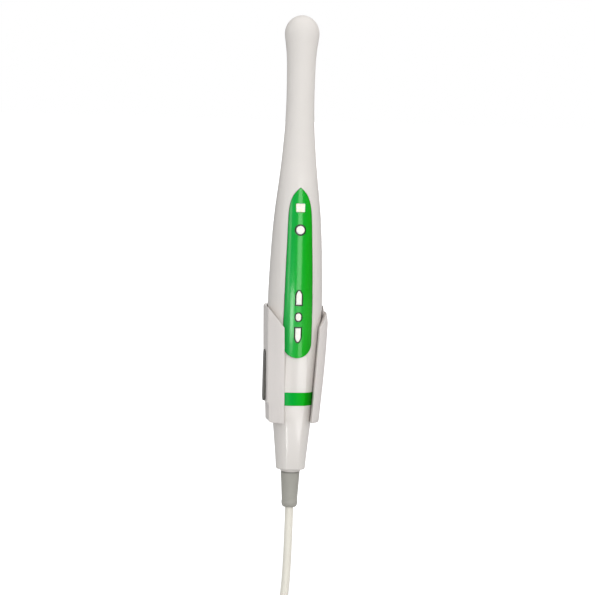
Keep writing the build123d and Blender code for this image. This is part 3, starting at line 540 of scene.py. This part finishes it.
def phosphor(name):
    n = Nodes(name)
    grains = n.voronoi(9000.0)
    col = n.ramp(grains, [(0.0, srgb(250, 224, 96)), (0.7, srgb(240, 208, 84))])
    n.to(col, "Base Color").to(n.bump(grains, 0.4, 0.00002), "Normal")
    n.to(n.range(n.noise(2500.0), 0.3, 0.7, 0.3, 0.45), "Roughness")
    n.set(Subsurface_Weight=0.3, Subsurface_Scale=0.0006, Coat_Weight=0.5, Coat_Roughness=0.1)
    return n.m


led_yellow = phosphor("led_yellow")


def film(name):
    n = Nodes(name)
    stripes = n.wave(620.0, direction="X", distortion=0.0, detail=0.0)
    copper = n.range(stripes, 0.45, 0.6, 0.0, 1.0, smooth=True)
    col = n.mix(copper, srgb(150, 84, 24), srgb(196, 124, 52))
    n.to(col, "Base Color").to(n.bump(copper, 0.3, 0.00002), "Normal")
    n.to(n.range(n.noise(500.0), 0.3, 0.7, 0.22, 0.34), "Roughness")
    n.set(Coat_Weight=0.3)
    return n.m


flex_amber = film("flex_amber")


def wires(name):
    n = Nodes(name)
    x, y, z = n.split()
    band = n.range(x, AX - 0.0016, AX + 0.0016, 0.0, 1.0)
    col = n.ramp(band, [(0.0, srgb(176, 36, 30)), (0.24, srgb(176, 36, 30)), (0.26, srgb(32, 32, 34)),
                        (0.49, srgb(32, 32, 34)), (0.51, srgb(232, 232, 226)), (0.74, srgb(232, 232, 226)),
                        (0.76, srgb(40, 120, 60))])
    shade = n.noise(700.0, 3.0)
    n.to(n.mix(n.range(shade, 0.3, 0.7, 0.0, 0.12), col, srgb(90, 90, 90)), "Base Color")
    n.to(n.range(shade, 0.3, 0.7, 0.38, 0.5), "Roughness").to(n.bump(n.noise(2600.0), 0.3, 0.00001), "Normal")
    return n.m


wire_colours = wires("wire_colours")


def glass(name, tint, rough, weight=0.95, ior=1.49, edge=0.0):
    """Clear moulded window or lens, with faint wipe marks in its gloss."""
    n = Nodes(name)
    marks = n.noise(350.0, 4.0, 0.65, vector=n.mapping(scale=(1, 1, 0.25)))
    n.to(n.range(marks, 0.35, 0.75, rough, rough + 0.05), "Roughness")
    n.to(n.ramp(marks, [(0.3, tint), (0.8, tuple(c * 0.98 for c in tint[:3]) + (1,))]), "Base Color")
    n.to(n.bump(marks, 0.05, 0.000005), "Normal")
    n.set(Transmission_Weight=weight, IOR=ior, Coat_Weight=edge)
    return n.m


window_clear = glass("window_clear", srgb(246, 250, 250), 0.02)
lens_glass = glass("lens_glass", srgb(206, 222, 240), 0.01, ior=1.6, edge=0.3)

WEAR = {
    "front_shell": shell_white, "back_shell": shell_white, "tail_cone": cone_white, "green_band": panel_green,
    "button_panel": panel_green, "indicator_window": window_white, "capture_button": BUTTONS["capture_button"],
    "up_button": BUTTONS["up_button"], "ok_button": BUTTONS["ok_button"], "down_button": BUTTONS["down_button"],
    "main_board": board_green, "sensor_board": board_green, "led_board": board_white,
    "tact_switches": chip_black, "board_chips": chip_black, "image_sensor": chip_black,
    "indicator_led": led_yellow, "white_leds": led_yellow, "board_screws": screw_steel,
    "shell_screw": screw_steel, "wire_header": connector_ivory, "flex_connector": connector_ivory,
    "camera_flex": flex_amber, "lens_holder": lens_black, "lens_barrel": lens_black, "front_lens": lens_glass,
    "lens_window": window_clear, "cord_boot": boot_painted_collar_shade, "boot_retainer": retainer_white,
    "signal_wires": wire_colours, "cradle": cradle_white, "cradle_pad": pad_foam, "cord_tie": tie_black,
    "plug_boot": boot_grey, "plug_grip": plug_grey, "plug_shell": plug_metal, "plug_insert": insert_black,
    "plug_pins": pin_gold, "cord_run": cord_cream, "cord_coil": cord_cream, "cord_end": cord_cream,
}
for node, material in WEAR.items():
    NODES[node].data.materials.clear()
    NODES[node].data.materials.append(material)

# ---- the cradle's foam pad --------------------------------------------------------------------
def rounded_box(half_a, half_b, radius, steps=10, edge=14):
    """Points of a rounded rectangle, anticlockwise, evenly enough spaced to bend."""
    radius = max(radius, 0.00005)
    found = []
    for k, (sa, sb) in enumerate(((1, 1), (-1, 1), (-1, -1), (1, -1))):
        ca, cb = sa * (half_a - radius), sb * (half_b - radius)
        for i in range(steps + 1):
            t = math.pi / 2 * (k + i / steps)
            found.append((ca + radius * math.cos(t), cb + radius * math.sin(t)))
        na, nb = ((-1, 1), (-1, -1), (1, -1), (1, 1))[k]
        t = math.pi / 2 * (k + 1)
        a0 = (ca + radius * math.cos(t), cb + radius * math.sin(t))
        a1 = (na * (half_a - radius) + radius * math.cos(t), nb * (half_b - radius) + radius * math.sin(t))
        for i in range(1, edge):
            f = i / edge
            found.append((a0[0] + (a1[0] - a0[0]) * f, a0[1] + (a1[1] - a0[1]) * f))
    return found


pad_low, pad_high = (Vector(v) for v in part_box("cradle_pad"))
pad_mid = (pad_low + pad_high) / 2
pad_half = (pad_high - pad_low) / 2
THICK = pad_high.x - pad_low.x                    # at its lower end; the seat behind it slants
THIN = THICK - 0.022 * 0.93 / 42.4
PAD_CORNER = 0.0025
levels = [(0.0, 1.9), (0.0, 1.0), (0.0, 0.28), (0.02, 0.12), (0.06, 0.05), (0.10, 0.05), (0.115, 0.11), (0.15, 0.15),
          (0.22, 0.07), (0.30, 0.02), (0.38, 0.0), (0.46, 0.02), (0.54, 0.07), (0.62, 0.15), (0.68, 0.24),
          (0.73, 0.36), (0.73, 1.0), (0.73, 1.9)]
points, faces = [], []
for depth, inset in levels:
    inset /= 1000
    ring_points = rounded_box(pad_half.y - inset, pad_half.z - inset, PAD_CORNER - inset)
    for k, (b, c) in enumerate(ring_points):
        soft = 0.00003 * math.sin(b * 2600 + 0.7) * math.sin(c * 1100 + 0.3)
        swell = 1 + 400 * soft if 0.2 < depth < 0.6 else 1.0
        here = THICK + (THIN - THICK) * (c + pad_half.z) / (2 * pad_half.z)
        points.append((pad_low.x + depth / 0.73 * here, pad_mid.y + b * swell, pad_mid.z + c))
count = len(ring_points)
for j in range(len(levels) - 1):
    for k in range(count):
        m = (k + 1) % count
        faces.append((j * count + k, (j + 1) * count + k, (j + 1) * count + m, j * count + m))
faces.append(tuple(range(count)))
faces.append(tuple((len(levels) - 1) * count + k for k in range(count))[::-1])
pad = add_object("foam_pad", mesh_from("foam_pad", points, faces), "holder", [pad_foam])
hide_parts("cradle_pad")

# ---- the strap round the coil -------------------------------------------------------------------
# A hook-and-loop strap drawn tight: once round the bundle, with its end lapped up the outer side and over.
def strap_loop():
    inner_r, outer_r, low, high, corner = 0.01572, 0.02992, 0.00058, 0.01468, 0.0019
    mid_r, mid_z = (inner_r + outer_r) / 2, (low + high) / 2
    loop = rounded_box((outer_r - inner_r) / 2, (high - low) / 2, corner, steps=8, edge=16)
    return [(mid_r + a, mid_z + b) for a, b in loop]


loop = strap_loop()
count = len(loop)
STRAP_THICK = 0.00046
start = 82                                            # begins low on the outer side
lap = 30                                              # and laps itself this far, over the top
path = [loop[(start + i) % count] for i in range(count + lap)]
centre = (sum(p[0] for p in loop) / count, sum(p[1] for p in loop) / count)
middle = []
for i, (r, z) in enumerate(path):
    ahead, behind = path[min(i + 1, len(path) - 1)], path[max(i - 1, 0)]
    tx, tz = ahead[0] - behind[0], ahead[1] - behind[1]
    size = math.hypot(tx, tz)
    nx, nz = tz / size, -tx / size                    # outward, the loop being anticlockwise
    over = max(0.0, min(1.0, (i - count + 6) / 6))
    lift = STRAP_THICK / 2 + over * (STRAP_THICK + 0.00002)
    ripple = 0.00003 * math.sin(i * 0.9)
    middle.append(((r + nx * (lift + ripple), z + nz * (lift + ripple)), (nx, nz)))
ta = math.radians(TIE_ANGLE)
outward, along = Vector((-math.sin(ta), -math.cos(ta), 0)), Vector((-math.cos(ta), math.sin(ta), 0))
across = 12
points, faces = [], []
for i, ((r, z), (nx, nz)) in enumerate(middle):
    left = len(middle) - 1 - i
    narrow = 1.0 - 0.25 * max(0.0, 1 - left / 4) ** 2 - 0.0  # rounded end of the strap
    for side in (1, -1):
        for k in range(across + 1):
            f = 2 * k / across - 1
            w = TIE_WIDTH / 2 * narrow * f * side
            thin = STRAP_THICK / 2 * (1 - 0.55 * abs(f) ** 10)
            fray = 0.00004 * math.sin(i * 2.3 + 3 * f)
            pr, pz = r + nx * side * thin, z + nz * side * thin
            points.append(Vector((COIL_X, COIL_Y, FLOOR + pz)) + outward * pr + along * (w + fray * abs(f) ** 6))
ring_n = 2 * (across + 1)
for i in range(len(middle) - 1):
    for k in range(ring_n):
        m = (k + 1) % ring_n
        faces.append((i * ring_n + k, i * ring_n + m, (i + 1) * ring_n + m, (i + 1) * ring_n + k))
faces.append(tuple(range(ring_n))[::-1])
faces.append(tuple((len(middle) - 1) * ring_n + k for k in range(ring_n)))
tie_mesh = mesh_from("coil_strap", points, faces)
b = bmesh.new()
b.from_mesh(tie_mesh)
bmesh.ops.recalc_face_normals(b, faces=b.faces[:])
b.to_mesh(tie_mesh)
b.free()
tie = add_object("coil_strap", tie_mesh, "holder", [tie_black])
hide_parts("cord_tie")

# ---- the cord's material, with the CAD cord hidden ------------------------------------------
cord.data.materials.append(cord_cream)
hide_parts("cord_run", "cord_coil", "cord_end")
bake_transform(cord)

# ---- rounded mouldings ---------------------------------------------------------------------------
def soften(node, width, angle=35.0, segments=3):
    """Rounds a CAD node's sharp edges by a small radius."""
    o = NODES[node]
    weld = o.modifiers.new("weld", "WELD")
    weld.merge_threshold = 0.000002
    bevel = o.modifiers.new("round", "BEVEL")
    bevel.width, bevel.segments = width, segments
    bevel.limit_method, bevel.angle_limit = "ANGLE", math.radians(angle)
    bevel.harden_normals = False
    bevel.use_clamp_overlap = True


soften("cradle", 0.00035, 40.0)
soften("tail_cone", 0.00015, 12.0)
soften("plug_grip", 0.00018, 30.0)

# ---- floor, light and world ------------------------------------------------------------------
ring = 96
points, faces = [(0.0, 0.0, FLOOR)], []
radii = [0.02, 0.05, 0.1, 0.2, 0.4, 0.8, 1.6, 3.2, 6.4, 12.0]
for r in radii:
    points += [(AX + r * math.cos(2 * math.pi * k / ring), r * math.sin(2 * math.pi * k / ring), FLOOR)
               for k in range(ring)]
points[0] = (AX, 0.0, FLOOR)
faces += [(0, 1 + k, 1 + (k + 1) % ring) for k in range(ring)]
for j in range(len(radii) - 1):
    for k in range(ring):
        m = (k + 1) % ring
        faces.append((1 + j * ring + k, 1 + (j + 1) * ring + k, 1 + (j + 1) * ring + m, 1 + j * ring + m))
points = [(x, y, z - 0.00002) for x, y, z in points]
floor = add_object("floor", mesh_from("floor", points, faces, smooth=False))
n = Nodes("floor_pale")
n.to(n.ramp(n.noise(6.0), [(0.3, (0.49, 0.49, 0.49, 1)), (0.7, (0.50, 0.50, 0.50, 1))]), "Base Color")
n.to(n.range(n.noise(20.0), 0.3, 0.7, 0.85, 0.95), "Roughness")
n.set(Specular_IOR_Level=0.0)
glow = n.t.nodes.new("ShaderNodeEmission")
glow.inputs["Color"].default_value = (1, 1, 1, 1)
glow.inputs["Strength"].default_value = 1.36
x, y, z = n.split()
far = n.math("SQRT", n.math("ADD", n.math("MULTIPLY", x, x), n.math("MULTIPLY", y, y)))
share = n.range(far, 0.08, 0.5, 0.62, 1.0, smooth=True)
seen = n.t.nodes.new("ShaderNodeMixShader")
n.link(share, seen.inputs[0])
n.link(n.bsdf.outputs[0], seen.inputs[1])
n.link(glow.outputs[0], seen.inputs[2])
kind = n.t.nodes.new("ShaderNodeLightPath")
final = n.t.nodes.new("ShaderNodeMixShader")
n.link(kind.outputs["Is Camera Ray"], final.inputs[0])
n.link(n.bsdf.outputs[0], final.inputs[1])
n.link(seen.outputs[0], final.inputs[2])
n.link(final.outputs[0], n.out.inputs["Surface"])
floor.data.materials.append(n.m)

world = bpy.data.worlds.new("studio")
bpy.context.scene.world = world
world.use_nodes = True
wt = world.node_tree
wt.nodes.clear()
w_out = wt.nodes.new("ShaderNodeOutputWorld")
w_light = wt.nodes.new("ShaderNodeBackground")
w_seen = wt.nodes.new("ShaderNodeBackground")
w_mix = wt.nodes.new("ShaderNodeMixShader")
w_path = wt.nodes.new("ShaderNodeLightPath")
w_light.inputs["Color"].default_value = (1.0, 1.0, 1.0, 1)
w_light.inputs["Strength"].default_value = 0.60
w_seen.inputs["Color"].default_value = (1.0, 1.0, 1.0, 1)
w_seen.inputs["Strength"].default_value = 1.0
w_dim = wt.nodes.new("ShaderNodeBackground")
w_dim.inputs["Color"].default_value = (0.96, 0.98, 1.0, 1)
w_dim.inputs["Strength"].default_value = 0.14
w_gloss = wt.nodes.new("ShaderNodeMixShader")
wt.links.new(w_path.outputs["Is Glossy Ray"], w_gloss.inputs[0])
wt.links.new(w_light.outputs[0], w_gloss.inputs[1])
wt.links.new(w_dim.outputs[0], w_gloss.inputs[2])
wt.links.new(w_path.outputs["Is Camera Ray"], w_mix.inputs[0])
wt.links.new(w_gloss.outputs[0], w_mix.inputs[1])
wt.links.new(w_seen.outputs[0], w_mix.inputs[2])
wt.links.new(w_mix.outputs[0], w_out.inputs[0])


def area(name, at, aim, size, power, colour=(1, 1, 1), height=None):
    data = bpy.data.lights.new(name, "AREA")
    data.shape = "RECTANGLE"
    data.size, data.size_y = size, height or size
    data.energy, data.color = power, colour
    made = bpy.data.objects.new(name, data)
    bpy.context.scene.collection.objects.link(made)
    made.location = at
    made.rotation_euler = (Vector(aim) - Vector(at)).to_track_quat("-Z", "Y").to_euler()
    made.visible_camera = False
    return made


CENTRE = (AX, 0, 0.0376)
area("front_strip", (0.20, -1.45, 0.20), CENTRE, 0.46, 8.6, height=1.5)
area("low_card", (-0.19, -0.62, -0.055), (AX, 0, -0.01), 0.15, 0.55, height=0.13).visible_diffuse = False
area("tail_card", (-0.035, -0.30, -0.108), (AX, 0, -0.03), 0.045, 0.055, height=0.035).visible_diffuse = False
area("near_card", (0.145, -0.365, -0.088), (AX, 0, -0.01), 0.10, 0.11, height=0.06).visible_diffuse = False
area("left_edge", (-0.82, -1.2, 0.25), CENTRE, 0.20, 2.5, height=1.4)
area("left_cool", (-1.5, -0.8, 0.3), CENTRE, 0.9, 3.6, (0.88, 0.95, 1.0), height=1.4)
area("top_soft", (0.1, -0.2, 1.7), CENTRE, 1.4, 8.0)
area("right_fill", (1.35, -1.1, 0.1), CENTRE, 0.9, 7.5, height=1.4).visible_glossy = False
area("back_fill", (0.4, 1.7, 0.5), CENTRE, 1.2, 8.0, height=1.4)

scene = bpy.context.scene
scene.view_settings.view_transform = "Standard"
scene.view_settings.look = "None"
scene.view_settings.exposure = 0.0
scene.view_settings.gamma = 1.0
